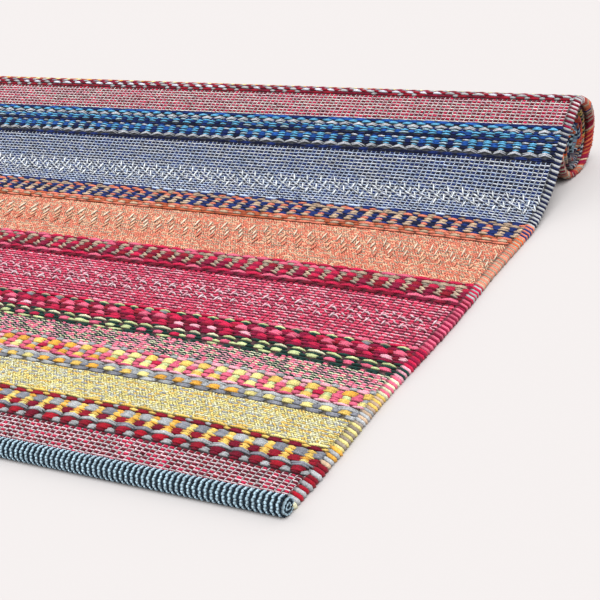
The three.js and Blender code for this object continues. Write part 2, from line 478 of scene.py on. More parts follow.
@dataclass
class Weaver:
    """Places the floats of a row, with the small unevenness of hand weaving."""

    lie: Lie
    step: float = 5.0
    selvedge: float = 6.0
    jitter: float = 0.22
    shade: float = 0.3
    ply_shade: float = 0.24
    ply_width: float = 1.55
    crowding: float = 1.06
    overlap: float = 1.16
    patch: float = 38.0
    drift_share: float = 0.55
    own_share: float = 0.45
    first_pick: float = 0.18
    pick_range: float = 0.64
    last_pick: float = 0.999
    uneven_length: float = 0.1
    uneven_place: float = 0.6
    uneven_rise: float = 0.5
    least_rise: float = 0.4
    most_rise: float = 1.4
    rng: np.random.Generator = field(default_factory=lambda: np.random.default_rng(SEED))

    def dyes(self, yarns: tuple[Yarn, ...], across: np.ndarray) -> np.ndarray:
        """Picks a yarn for each place, in loose patches, and shades it a little."""
        knots = np.arange(-self.lie.width, self.lie.width, self.patch)
        drift = np.interp(across, knots, self.rng.random(len(knots)))
        pick = self.drift_share * drift + self.own_share * self.rng.random(len(across))
        pick = np.clip((pick - self.first_pick) / self.pick_range, 0, self.last_pick)
        table = np.array([yarn.linear for yarn in yarns])
        dye = table[(pick * len(yarns)).astype(int)]
        shade = 1 + self.shade * (self.rng.random(len(across)) - 0.5)
        return dye * shade[:, None]

    def places(self, row: Row) -> Places:
        """The places of one row's floats, a ply at a time.

        Args:
            row: the row that is woven.

        Returns:
            The places of all its plies.
        """
        pitch = row.pitch * self.step
        half = self.lie.width / 2 - self.selvedge
        reach = int(half / pitch) + 2
        across = (np.arange(-reach, reach + 1) + row.phase) * pitch
        across = across[np.abs(across) <= half]
        count = len(across)
        dye = self.dyes(row.yarns, across)
        parts = []
        plies = row.plies or max(1, round(row.width * self.step / self.ply_width))
        ply_width = row.width * self.step / plies
        for ply in range(plies):
            offset = (ply - (plies - 1) / 2) * ply_width
            noise = self.rng.normal(0, self.jitter, (3, count))
            size = 1 + self.uneven_length * self.rng.normal(0, 1, count)
            turn = np.radians(row.turn + row.scatter * self.rng.normal(0, 1, count))
            shade = 1 + self.ply_shade * (self.rng.random(count) - 0.5)
            rise = row.rise + self.uneven_rise * noise[2]
            parts.append(Places(
                across=across + noise[0] - offset * np.sin(turn),
                along=row.along + offset * np.cos(turn) + self.uneven_place * noise[1],
                level=np.full(count, row.level),
                length=row.length * self.step * size * self.overlap,
                width=np.full(count, ply_width * self.crowding),
                rise=np.clip(rise, self.least_rise * row.rise, self.most_rise * row.rise),
                turn=turn,
                arch=np.full(count, row.arch),
                dye=dye * shade[:, None],
            ))
        return Places.joined(parts)


class Weave(Enum):
    """How the yarns of a plain stripe cross."""

    GRID = "dots in the cells of a lighter grid"
    FINE = "short strokes in all the stripe's colours"
    SLANTED = "fine steep strokes"


@dataclass(frozen=True)
class Stroke:
    """The short strokes that fill a stripe.

    gap, between one row and the next, is in mm, pitch, length and width in warp steps, turn in
    degrees, and shift, from one row to the next, in pitches.
    """

    gap: float
    length: float
    turn: float
    pitch: float = 0.5
    width: float = 0.42
    shift: float = 0.37


FINE_STROKE = Stroke(gap=2.2, length=0.66, turn=-12.0)
SLANTED_STROKE = Stroke(gap=3.0, length=0.94, turn=-46.0)


@dataclass(frozen=True)
class Stripe:
    """A plain stripe, from start to end along the cloth, with the yarns of its dots and ground."""

    name: str
    start: float
    end: float
    dots: tuple[Yarn, ...]
    ground: tuple[Yarn, ...]
    weave: Weave = Weave.GRID
    pitch: float = 4.6
    line: float = 0.4
    dot: float = 0.68
    open_grid: bool = True
    lead: float = 0.25
    # Painted shade at the feet of the stitches: deep in the grid weaves, light in the strokes.
    grid_foot_painted_shade: float = 0.18
    stroke_foot_painted_shade: float = 0.7

    @property
    def depth(self) -> float:
        """How bright the painted shade leaves the feet of the stitches, from 0 for black to 1."""
        return self.grid_foot_painted_shade if self.weave is Weave.GRID else self.stroke_foot_painted_shade

    def rows(self) -> list[Row]:
        """The stripe's rows of stitches."""
        if self.weave is Weave.FINE:
            return self._strokes(FINE_STROKE)
        if self.weave is Weave.SLANTED:
            return self._strokes(SLANTED_STROKE)
        return self._grid()

    def _alongs(self, pitch: float) -> np.ndarray:
        """Even places along the stripe."""
        count = max(1, round((self.end - self.start) / pitch))
        return self.start + (np.arange(count) + self.lead) * (self.end - self.start) / count

    def _grid(self) -> list[Row]:
        """Rows of light bumps that touch, and rows of dots between them."""
        rows = []
        for along in self._alongs(self.pitch):
            rows.append(Row(
                along, self.ground, length=1.34, width=self.line, turn=-6, rise=0.9, level=5.0,
                pitch=1.0, plies=1,
            ))
            rows.append(Row(
                along + self.pitch / 2, self.dots, length=0.86, width=self.dot, turn=-4, rise=1.6,
                level=4.8, pitch=1.0, plies=1,
            ))
            if self.open_grid:
                rows.append(Row(
                    along + self.pitch / 2, self.ground, phase=0.5, length=0.9, width=0.2,
                    turn=80, rise=0.6, level=5.0, pitch=1.0, plies=1,
                ))
        return rows

    def _strokes(self, stroke: Stroke) -> list[Row]:
        """Rows of short strokes, each row shifted from the last.

        Args:
            stroke: the stroke that fills the rows.

        Returns:
            The rows.
        """
        rows = []
        for index, along in enumerate(self._alongs(stroke.gap)):
            yarns = self.dots if index % 2 else self.ground
            rows.append(Row(
                along, yarns, phase=stroke.shift * index % 1, pitch=stroke.pitch,
                length=stroke.length, width=stroke.width, turn=stroke.turn, rise=0.7, level=5.0,
                scatter=34.0, plies=1,
            ))
        return rows


@dataclass(frozen=True)
class Band:
    """A band of long floats with its rows."""

    name: str
    rows: tuple[Row, ...]


@dataclass(frozen=True)
class Chart:
    """The stripes and bands, in order from the near hem."""

    stripes: tuple[Stripe, ...] = (
        Stripe("red_stripe", 16, 47, (Yarn.CRIMSON, Yarn.MAROON, Yarn.BRICK),
               (Yarn.OYSTER, Yarn.PETAL, Yarn.OYSTER)),
        Stripe("yellow_stripe", 86, 122, (Yarn.STRAW, Yarn.YELLOW, Yarn.CREAM, Yarn.STRAW),
               (Yarn.CREAM, Yarn.GREY, Yarn.STRAW, Yarn.CREAM), Weave.FINE),
        Stripe("mottled_stripe", 161, 189, (Yarn.BOTTLE, Yarn.ROSE, Yarn.BOTTLE),
               (Yarn.BLUSH, Yarn.CREAM, Yarn.BLUSH), pitch=3.2, open_grid=False),
        Stripe("crimson_stripe", 236, 314, (Yarn.CRIMSON, Yarn.WINE, Yarn.CRIMSON),
               (Yarn.ROSE, Yarn.BLUSH, Yarn.ROSE), line=0.56, dot=0.62, open_grid=False),
        Stripe("salmon_stripe", 358, 448, (Yarn.SALMON, Yarn.PEACH, Yarn.SALMON),
               (Yarn.SAND, Yarn.SALMON, Yarn.BEIGE), Weave.SLANTED),
        Stripe("blue_stripe", 499, 586, (Yarn.MIDNIGHT, Yarn.NAVY, Yarn.MIDNIGHT), (Yarn.SILVER, Yarn.MIST)),
        Stripe("rose_stripe", 629, 664, (Yarn.MAROON, Yarn.CRIMSON, Yarn.BRICK), (Yarn.PEARL, Yarn.PETAL)),
        Stripe("orange_stripe", 696, 752, (Yarn.ORANGE, Yarn.AMBER), (Yarn.SAND, Yarn.GREY),
               open_grid=False),
        Stripe("grey_stripe", 790, 860, (Yarn.MAROON, Yarn.RED), (Yarn.PEARL, Yarn.GREY),
               open_grid=False),
    )

    bands: tuple[Band, ...] = (
        Band("red_yellow_band", (
            Row(50.2, (Yarn.GREY,), 0.5, 1.4, 0.8, 0.6),
            Row(49.2, (Yarn.MAROON,), 0.0, 1.2, 0.35),
            Row(53.4, (Yarn.RED, Yarn.BRICK, Yarn.MAROON), 0.0, 2.1, 1.1, 0.6),
            Row(57.0, (Yarn.GREY, Yarn.ASH), 0.0, 3.2, 0.7, 3.4),
            Row(61.6, (Yarn.STRAW, Yarn.YELLOW), 0.0, 1.9, 0.5, 1.4, -8.0),
            Row(65.0, (Yarn.YELLOW, Yarn.AMBER), -0.04, 1.8, 0.5, 1.2, -12.0),
            Row(68.4, (Yarn.YELLOW, Yarn.AMBER), 0.03, 1.7, 0.4, 1.0, -8.0),
            Row(64.4, (Yarn.BRICK, Yarn.MAROON, Yarn.BRICK), 0.5, 2.4, 1.2),
            Row(70.8, (Yarn.STRAW, Yarn.YELLOW), 0.0, 1.6, 0.5, 0.6, -5.0),
            Row(74.0, (Yarn.AMBER, Yarn.YELLOW), 0.0, 1.8, 0.5, 0.6, -5.0),
            Row(72.2, (Yarn.GREY, Yarn.ASH), 0.5, 2.3, 1.4, 0.5, -4.0, 2.0),
            Row(79.6, (Yarn.BRICK, Yarn.MAROON), 0.0, 2.2, 0.7),
            Row(80.4, (Yarn.YELLOW, Yarn.GREY), 0.5, 1.4, 0.4),
            Row(83.4, (Yarn.YELLOW, Yarn.STRAW), 0.0, 2.7, 0.36, 1.0),
        )),
        Band("grey_yellow_band", (
            Row(123.6, (Yarn.GREY, Yarn.ASH), 0.5, 2.4, 0.7, -1.0),
            Row(128.2, (Yarn.YELLOW, Yarn.STRAW, Yarn.AMBER), 0.0, 2.0, 0.95, 0.5),
            Row(128.6, (Yarn.GREY, Yarn.ASH), 0.5, 1.4, 0.8),
            Row(131.6, (Yarn.GREY,), 0.0, 3.2, 0.75, 2.4),
            Row(137.2, (Yarn.ROSE, Yarn.BLUSH), 0.5, 2.8, 0.4, 1.0),
            Row(141.4, (Yarn.YELLOW, Yarn.STRAW, Yarn.AMBER), 0.5, 1.9, 1.05, 0.6),
            Row(141.4, (Yarn.ROSE,), 0.0, 1.4, 0.75),
            Row(146.6, (Yarn.GREY, Yarn.CELERY), 0.5, 1.4, 0.7),
            Row(147.0, (Yarn.ROSE, Yarn.CRIMSON), 0.0, 1.8, 0.8, 0.5),
            Row(152.4, (Yarn.STRAW, Yarn.YELLOW, Yarn.AMBER), 0.5, 2.1, 1.25, 0.6, 0.0, 2.0),
            Row(152.4, (Yarn.ROSE, Yarn.BLUSH), 0.0, 1.2, 0.7),
            Row(158.4, (Yarn.ROSE, Yarn.BLUSH), 0.0, 2.0, 0.6),
            Row(159.4, (Yarn.GREY,), 0.5, 1.6, 0.5, 0.8),
        )),
        Band("green_pink_band", (
            Row(190.8, (Yarn.BOTTLE, Yarn.CELERY), 0.5, 2.4, 0.36, -1.2),
            Row(195.2, (Yarn.CRIMSON, Yarn.ROSE, Yarn.CELERY), 0.0, 1.9, 0.75, 0.4),
            Row(194.6, (Yarn.BOTTLE, Yarn.CELERY), 0.5, 1.5, 0.4),
            Row(199.0, (Yarn.BOTTLE,), 0.0, 2.2, 0.4),
            Row(201.6, (Yarn.CELERY, Yarn.CREAM, Yarn.CELERY), 0.0, 2.6, 0.36, 2.0, -6.0),
            Row(205.4, (Yarn.BOTTLE, Yarn.WINE), 0.5, 1.8, 0.36),
            Row(208.4, (Yarn.WINE, Yarn.CRIMSON), 0.5, 2.9, 0.5),
            Row(212.4, (Yarn.ROSE, Yarn.CRIMSON, Yarn.BLUSH), 0.5, 2.3, 0.75, 1.2, -6.0),
            Row(213.0, (Yarn.WINE, Yarn.MAROON), 0.0, 1.6, 0.6),
            Row(217.2, (Yarn.MAROON, Yarn.WINE), 0.0, 2.6, 0.4),
            Row(221.0, (Yarn.ROSE, Yarn.CRIMSON), 0.0, 2.5, 1.0, 1.2, -8.0, 2.0),
            Row(222.0, (Yarn.WINE, Yarn.BRICK), 0.5, 1.6, 0.7),
            Row(226.6, (Yarn.CRIMSON, Yarn.WINE), 0.5, 2.2, 0.5),
            Row(228.0, (Yarn.BOTTLE, Yarn.ASH), -0.1, 1.7, 0.5, 0.5, -6.0),
            Row(230.2, (Yarn.BEIGE, Yarn.CELERY), -0.1, 1.9, 0.3, 1.4),
            Row(233.4, (Yarn.CRIMSON, Yarn.ROSE), 0.5, 2.8, 0.5),
        )),
        Band("crimson_beige_band", (
            Row(316.6, (Yarn.MAROON, Yarn.WINE), 0.5, 2.2, 0.7),
            Row(319.6, (Yarn.ROSE, Yarn.CRIMSON, Yarn.ROSE), 0.0, 3.3, 0.6, 3.2, 0.0, 1.8),
            Row(325.8, (Yarn.WINE, Yarn.MAROON), 0.5, 1.6, 0.6),
            Row(329.4, (Yarn.BEIGE, Yarn.TAUPE), 0.0, 1.9, 0.46, 1.2, -24.0),
            Row(332.6, (Yarn.TAUPE, Yarn.BEIGE), 0.14, 1.6, 0.46, 1.0, -10.0),
            Row(335.8, (Yarn.BEIGE, Yarn.SAND), 0.0, 1.7, 0.46, 0.8, -30.0),
            Row(339.6, (Yarn.TAUPE, Yarn.BEIGE), 0.14, 1.6, 0.46, 0.8, -12.0),
            Row(343.4, (Yarn.BEIGE, Yarn.TAUPE), 0.0, 1.7, 0.42, 0.8, -6.0),
            Row(332.4, (Yarn.CRIMSON, Yarn.WINE, Yarn.BRICK), 0.5, 2.1, 1.1, 0.4),
            Row(338.0, (Yarn.WINE, Yarn.MAROON), 0.5, 2.4, 0.5),
            Row(342.6, (Yarn.BRICK, Yarn.CRIMSON), 0.5, 2.0, 1.1, 0.4),
            Row(348.8, (Yarn.ROSE, Yarn.BEIGE), 0.0, 2.1, 0.7, 0.8),
            Row(349.6, (Yarn.WINE, Yarn.TAUPE), 0.5, 1.4, 0.6),
            Row(354.4, (Yarn.ROSE, Yarn.CRIMSON), 0.5, 2.8, 0.6, 0.6),
        )),
        Band("orange_navy_band", (
            Row(450.4, (Yarn.SALMON, Yarn.RUST), 0.0, 3.1, 0.4, -1.4),
            Row(454.6, (Yarn.BEIGE, Yarn.SAND), 0.0, 1.9, 0.5, 0.6),
            Row(454.8, (Yarn.SALMON, Yarn.RUST), 0.5, 1.5, 0.5),
            Row(459.4, (Yarn.SALMON, Yarn.RUST, Yarn.SALMON), 0.0, 3.1, 0.6, 1.4),
            Row(465.0, (Yarn.NAVY,), 0.0, 1.7, 0.7),
            Row(466.4, (Yarn.BEIGE, Yarn.SAND), 0.5, 2.1, 0.5, 1.4),
            Row(469.6, (Yarn.MIDNIGHT, Yarn.NAVY), 0.0, 2.9, 0.34),
            Row(471.8, (Yarn.SALMON, Yarn.SAND), 0.5, 1.5, 0.5, 0.9),
            Row(473.0, (Yarn.NAVY, Yarn.MIDNIGHT), 0.0, 1.9, 0.7),
            Row(475.6, (Yarn.MIDNIGHT, Yarn.NAVY), 0.5, 2.8, 0.3),
            Row(477.6, (Yarn.BEIGE, Yarn.SAND), 0.5, 2.1, 0.5, 1.2),
            Row(480.0, (Yarn.NAVY,), 0.0, 1.8, 0.6),
            Row(483.0, (Yarn.SALMON, Yarn.SAND), 0.5, 1.6, 0.5, 0.9),
            Row(484.6, (Yarn.MIDNIGHT, Yarn.NAVY), 0.0, 1.9, 0.6),
            Row(488.4, (Yarn.SALMON, Yarn.BEIGE), 0.0, 2.1, 0.5, 0.8),
            Row(488.6, (Yarn.NAVY, Yarn.BEIGE), 0.5, 1.4, 0.4),
            Row(492.8, (Yarn.BEIGE, Yarn.SALMON), 0.5, 1.7, 0.4, -0.8),
            Row(493.4, (Yarn.NAVY,), 0.0, 1.7, 0.5),
            Row(496.8, (Yarn.NAVY, Yarn.MIST), 0.0, 2.4, 0.4),
        )),
        Band("cyan_band", (
            Row(588.0, (Yarn.NAVY, Yarn.MIDNIGHT), 0.5, 2.4, 0.7),
            Row(590.4, (Yarn.PEWTER,), 0.0, 2.9, 0.64, 4.2, 0.0, 1.8),
            Row(588.2, (Yarn.MIDNIGHT,), 0.0, 1.2, 0.4),
            Row(596.4, (Yarn.MIDNIGHT, Yarn.NAVY), 0.5, 1.7, 0.6),
            Row(596.8, (Yarn.CYAN,), 0.0, 1.4, 0.36, 0.5),
            Row(599.9, (Yarn.CYAN, Yarn.ICE), 0.0, 1.9, 0.38, 1.0),
            Row(603.0, (Yarn.CYAN,), 0.0, 1.9, 0.38, 1.0),
            Row(605.4, (Yarn.CYAN, Yarn.ROYAL), 0.0, 1.6, 0.4, 0.5),
            Row(601.4, (Yarn.ROYAL, Yarn.NAVY, Yarn.ROYAL), 0.5, 1.7, 1.0),
            Row(606.0, (Yarn.SILVER, Yarn.GREY), 0.5, 1.4, 0.35),
            Row(608.6, (Yarn.MIDNIGHT, Yarn.NAVY), 0.0, 1.5, 0.4),
            Row(609.4, (Yarn.MIDNIGHT, Yarn.NAVY), 0.5, 1.9, 0.6),
            Row(611.8, (Yarn.CYAN, Yarn.ICE), 0.0, 1.8, 0.36, 1.0),
            Row(614.8, (Yarn.CYAN, Yarn.CYAN, Yarn.ROYAL), 0.0, 1.9, 0.36, 1.0),
            Row(613.8, (Yarn.ROYAL, Yarn.NAVY), 0.5, 1.5, 0.7),
            Row(617.2, (Yarn.CYAN, Yarn.ICE), 0.5, 1.6, 0.4),
            Row(617.6, (Yarn.PEWTER,), 0.5, 2.9, 0.6, 3.8, 0.0, 1.8),
            Row(618.6, (Yarn.NAVY,), 0.0, 1.4, 0.5),
            Row(623.6, (Yarn.CYAN,), 0.0, 2.0, 0.5, 0.8),
            Row(626.6, (Yarn.ROYAL, Yarn.NAVY), 0.5, 3.0, 0.6),
        )),
        Band("red_white_band", (
            Row(666.6, (Yarn.MAROON, Yarn.BRICK), 0.0, 2.3, 0.6),
            Row(666.8, (Yarn.MAROON, Yarn.GREY), 0.5, 1.2, 0.5),
            Row(672.0, (Yarn.BRICK, Yarn.MAROON), 0.5, 2.0, 0.6, 0.5, -5.0),
            Row(671.6, (Yarn.SILVER, Yarn.GREY), 0.0, 2.2, 0.6, 0.5, -5.0),
            Row(677.0, (Yarn.ASH, Yarn.GREY), 0.5, 1.7, 0.6, 0.5),
            Row(677.0, (Yarn.MAROON, Yarn.WINE), 0.0, 2.2, 0.7, 0.5),
            Row(683.0, (Yarn.BRICK, Yarn.RUST), 0.0, 2.1, 0.8),
            Row(683.4, (Yarn.AMBER, Yarn.STRAW), 0.5, 1.5, 0.8),
            Row(689.4, (Yarn.AMBER, Yarn.ORANGE), 0.0, 2.1, 0.9),
            Row(689.4, (Yarn.RED,), 0.5, 1.5, 0.8),
            Row(694.2, (Yarn.ORANGE,), 0.5, 2.8, 0.6),
        )),
        Band("orange_red_band", (
            Row(755.6, (Yarn.ORANGE, Yarn.RED), 0.0, 3.0, 0.7, 1.5),
            Row(761.0, (Yarn.BEIGE, Yarn.STRAW), 0.5, 2.0, 1.0),
            Row(761.0, (Yarn.ORANGE,), 0.0, 1.2, 0.9),
            Row(767.4, (Yarn.RED, Yarn.ORANGE), 0.0, 2.1, 1.0),
            Row(767.4, (Yarn.BEIGE,), 0.5, 1.2, 0.9),
            Row(773.4, (Yarn.AMBER, Yarn.ORANGE), 0.5, 2.1, 1.0),
            Row(773.4, (Yarn.BRICK,), 0.0, 1.3, 0.9),
            Row(779.4, (Yarn.BEIGE, Yarn.GREY), 0.0, 3.2, 0.8, 2.4),
            Row(785.6, (Yarn.RED, Yarn.MAROON), 0.5, 2.6, 0.7),
        )),
    )

    motifs: tuple[Band, ...] = (
        Band("crimson_motif", (
            Row(262.0, (Yarn.PETAL, Yarn.BLUSH), 0.0, 1.5, 0.34, 2.4, -30.0, 1.4, 6.3),
            Row(265.0, (Yarn.BLUSH, Yarn.PETAL), -0.28, 1.5, 0.34, 0.0, 84.0, 1.4, 6.3),
            Row(268.0, (Yarn.PETAL, Yarn.BLUSH), 0.3, 1.2, 0.3, 0.0, -40.0, 1.4, 6.3),
            Row(275.0, (Yarn.PETAL, Yarn.BLUSH), 0.5, 1.5, 0.34, 2.6, -30.0, 1.4, 6.3),
            Row(279.0, (Yarn.PETAL, Yarn.BLUSH), 0.22, 1.6, 0.34, 0.0, 84.0, 1.4, 6.3),
            Row(283.0, (Yarn.PETAL,), 0.8, 1.2, 0.34, 0.0, -40.0, 1.4, 6.3),
        )),
        Band("salmon_motif", (
            Row(392.0, (Yarn.PEACH, Yarn.SALMON), 0.62, 2.2, 0.28, 0.0, 94.0, 1.4, 6.2),
            Row(401.0, (Yarn.IVORY, Yarn.PEACH), 0.30, 2.5, 0.3, 0.0, 98.0, 1.4, 6.2),
            Row(410.0, (Yarn.PEACH, Yarn.IVORY), 0.94, 2.5, 0.28, 0.0, 98.0, 1.4, 6.2),
            Row(419.0, (Yarn.IVORY,), 0.45, 3.2, 0.3, 0.0, 98.0, 1.5, 6.3),
        )),
        Band("blue_motif", (
            Row(519.0, (Yarn.WHITE,), 0.0, 1.8, 0.36, 0.0, 88.0, 1.6, 6.3),
            Row(522.0, (Yarn.WHITE, Yarn.SILVER), 0.5, 1.6, 0.36, 0.0, -30.0, 1.5, 6.3),
            Row(526.5, (Yarn.WHITE,), 0.5, 2.0, 0.36, 0.0, 112.0, 1.6, 6.3),
            Row(527.6, (Yarn.WHITE, Yarn.SILVER), 0.0, 1.6, 0.36, 0.0, -30.0, 1.5, 6.3),
            Row(533.0, (Yarn.WHITE,), 0.0, 1.8, 0.36, 0.0, 88.0, 1.6, 6.3),
            Row(534.0, (Yarn.WHITE, Yarn.SILVER), 0.5, 1.6, 0.36, 0.0, -30.0, 1.5, 6.3),
            Row(539.5, (Yarn.WHITE,), 0.5, 2.0, 0.36, 0.0, 112.0, 1.6, 6.3),
        )),
    )

    edges: tuple[tuple[float, Yarn, Yarn], ...] = (
        (13, Yarn.INK, Yarn.ICE),
        (16, Yarn.CREAM, Yarn.PEARL),
        (48, Yarn.RED, Yarn.GREY),
        (62, Yarn.GREY, Yarn.BRICK),
        (72, Yarn.BRICK, Yarn.SAND),
        (86, Yarn.GREY, Yarn.AMBER),
        (124, Yarn.STRAW, Yarn.TAUPE),
        (140, Yarn.GREY, Yarn.SAND),
        (162, Yarn.YELLOW, Yarn.BEIGE),
        (190, Yarn.ROSE, Yarn.CREAM),
        (206, Yarn.BOTTLE, Yarn.BLUSH),
        (236, Yarn.CRIMSON, Yarn.WINE),
        (314, Yarn.WINE, Yarn.ROSE),
        (330, Yarn.ROSE, Yarn.MAROON),
        (358, Yarn.CRIMSON, Yarn.GREY),
        (450, Yarn.SALMON, Yarn.BEIGE),
        (468, Yarn.ORANGE, Yarn.BEIGE),
        (498, Yarn.SALMON, Yarn.NAVY),
        (590, Yarn.MIDNIGHT, Yarn.GREY),
        (628, Yarn.MIDNIGHT, Yarn.GREY),
        (640, Yarn.WINE, Yarn.GREY),
        (668, Yarn.MAROON, Yarn.OYSTER),
        (684, Yarn.MAROON, Yarn.GREY),
        (700, Yarn.RUST, Yarn.MAROON),
        (716, Yarn.RUST, Yarn.NAVY),
        (732, Yarn.BRICK, Yarn.TAUPE),
        (790, Yarn.RUST, Yarn.BRICK),
        (806, Yarn.TAUPE, Yarn.RUST),
        (830, Yarn.BRICK, Yarn.RUST),
        (870, Yarn.MAROON, Yarn.TAUPE),
        (905, Yarn.WINE, Yarn.MAROON),
        (940, Yarn.CRIMSON, Yarn.SALMON),
        (985, Yarn.YELLOW, Yarn.BOTTLE),
        (1040, Yarn.MIDNIGHT, Yarn.SILVER),
        (1090, Yarn.MIDNIGHT, Yarn.GREY),
        (1130, Yarn.ORANGE, Yarn.MAROON),
        (1175, Yarn.CRIMSON, Yarn.ORANGE),
        (1220, Yarn.NAVY, Yarn.OYSTER),
        (1290, Yarn.ICE, Yarn.NAVY),
        (1350, Yarn.INK, Yarn.ICE),
    )

    # The ground sheet is painted dark between the stitches, as painted shade in the gaps; less so under the
    # strokes.
    grid_ground_painted_shade: float = 0.2
    stroke_ground_painted_shade: float = 0.78

    def ground_painted_shade_at(self, along: float) -> float:
        """How bright the painted shade leaves the ground between the stitches there, from 0 for black to 1.
        """
        for stripe in self.stripes:
            if stripe.start <= along <= stripe.end and stripe.weave is not Weave.GRID:
                return self.stroke_ground_painted_shade
        return self.grid_ground_painted_shade

    def edge_colours(self, along: float) -> tuple[Yarn, Yarn]:
        """The yarns that turn at the selvedge there."""
        for end, first, second in self.edges:
            if along <= end:
                return first, second
        return self.edges[-1][1:]


@dataclass(frozen=True)
class CottonFinish:
    """Matt cotton, whose dye, with its painted shade and painted highlight, comes from an attribute and is
    shaded by a pattern.
    """

    name: str
    roughness: float
    specular: float

    def start(self) -> bpy.types.Material:
        """Makes the material with its plain values."""
        material = bpy.data.materials.new(self.name)
        material.use_nodes = True
        shader = material.node_tree.nodes["Principled BSDF"]
        shader.inputs["Roughness"].default_value = self.roughness
        shader.inputs["Specular IOR Level"].default_value = self.specular
        return material

    @staticmethod
    def shade(
        material: bpy.types.Material, pattern: bpy.types.NodeSocket, reads: tuple[float, float],
        gives: tuple[float, float],
    ) -> bpy.types.NodeSocket:
        """Shades the dye by a pattern.

        Args:
            material: the material that is dyed.
            pattern: the pattern's output.
            reads: the pattern's values at the two ends of the range.
            gives: how bright the dye is at those two ends.

        Returns:
            The output that says how bright the dye is.
        """
        nodes = material.node_tree.nodes
        links = material.node_tree.links
        dye = nodes.new("ShaderNodeAttribute")
        dye.attribute_name = "dye"
        shade = nodes.new("ShaderNodeMapRange")
        for label, value in zip(("From Min", "From Max", "To Min", "To Max"), reads + gives):
            shade.inputs[label].default_value = value
        links.new(pattern, shade.inputs["Value"])
        dyed = nodes.new("ShaderNodeVectorMath")
        dyed.operation = "SCALE"
        links.new(dye.outputs["Color"], dyed.inputs[0])
        links.new(shade.outputs["Result"], dyed.inputs["Scale"])
        links.new(dyed.outputs["Vector"], nodes["Principled BSDF"].inputs["Base Color"])
        return shade.outputs["Result"]

    @staticmethod
    def bump(
        material: bpy.types.Material, height: bpy.types.NodeSocket, distance: float,
    ) -> bpy.types.Node:
        """Adds a low relief of the given depth, in metres, and gives its node."""
        bump = material.node_tree.nodes.new("ShaderNodeBump")
        bump.inputs["Distance"].default_value = distance
        material.node_tree.links.new(height, bump.inputs["Height"])
        return bump


@dataclass(frozen=True)
class YarnFinish(CottonFinish):
    """The yarn, with its twist and loose fibres."""

    name: str = "cotton_yarn"
    roughness: float = 0.9
    specular: float = 0.12
    sheen: float = 0.08
    lint: float = 1300.0
    lint_detail: float = 3.0
    lint_range: tuple[float, float] = (0.3, 0.7)
    lint_shades: tuple[float, float] = (0.6, 1.24)
    fibre: float = 5200.0
    twists: float = 5.0
    plies: float = 2.0
    twist_angle: float = 35.0
    twist_scale: float = 0.6
    twist_waver: float = 1.2
    twist_depth: float = 0.00022
    fibre_depth: float = 0.00008

    def build(self) -> bpy.types.Material:
        """Makes the material."""
        material = self.start()
        nodes = material.node_tree.nodes
        links = material.node_tree.links
        shader = nodes["Principled BSDF"]
        shader.inputs["Sheen Weight"].default_value = self.sheen
        place = nodes.new("ShaderNodeTexCoord")
        lint = nodes.new("ShaderNodeTexNoise")
        lint.inputs["Scale"].default_value = self.lint
        lint.inputs["Detail"].default_value = self.lint_detail
        links.new(place.outputs["Object"], lint.inputs["Vector"])
        self.shade(material, lint.outputs["Fac"], self.lint_range, self.lint_shades)
        spun = nodes.new("ShaderNodeUVMap")
        spun.uv_map = "twist"
        turned = nodes.new("ShaderNodeMapping")
        turned.inputs["Scale"].default_value = (self.twists / 2, self.plies, 1.0)
        turned.inputs["Rotation"].default_value = (0, 0, math.radians(self.twist_angle))
        links.new(spun.outputs["UV"], turned.inputs["Vector"])
        plies = nodes.new("ShaderNodeTexWave")
        plies.inputs["Scale"].default_value = self.twist_scale
        plies.inputs["Distortion"].default_value = self.twist_waver
        links.new(turned.outputs["Vector"], plies.inputs["Vector"])
        fibres = nodes.new("ShaderNodeTexNoise")
        fibres.inputs["Scale"].default_value = self.fibre
        links.new(place.outputs["Object"], fibres.inputs["Vector"])
        deep = self.bump(material, plies.outputs["Fac"], self.twist_depth)
        fine = self.bump(material, fibres.outputs["Fac"], self.fibre_depth)
        links.new(deep.outputs["Normal"], fine.inputs["Normal"])
        links.new(fine.outputs["Normal"], shader.inputs["Normal"])
        return material


@dataclass(frozen=True)
class GroundFinish(CottonFinish):
    """The woven ground under the stitches, and the back of the cloth."""

    name: str = "woven_ground"
    roughness: float = 0.95
    specular: float = 0.08
    weave_scale: float = 200.0
    unevenness: float = 0.25
    # The weave's knots are painted light in their middles and dark between them, as painted highlight and
    # painted shade.
    weave_range: tuple[float, float] = (0.0, 0.7)
    weave_shades: tuple[float, float] = (1.25, 0.35)
    depth: float = 0.0006

    def build(self) -> bpy.types.Material:
        """Makes the material."""
        material = self.start()
        nodes = material.node_tree.nodes
        links = material.node_tree.links
        cloth = nodes.new("ShaderNodeUVMap")
        cloth.uv_map = "cloth"
        knots = nodes.new("ShaderNodeTexVoronoi")
        knots.inputs["Scale"].default_value = self.weave_scale
        knots.inputs["Randomness"].default_value = self.unevenness
        links.new(cloth.outputs["UV"], knots.inputs["Vector"])
        distance = knots.outputs["Distance"]
        shade = self.shade(material, distance, self.weave_range, self.weave_shades)
        bump = self.bump(material, shade, self.depth)
        links.new(bump.outputs["Normal"], nodes["Principled BSDF"].inputs["Normal"])
        return material


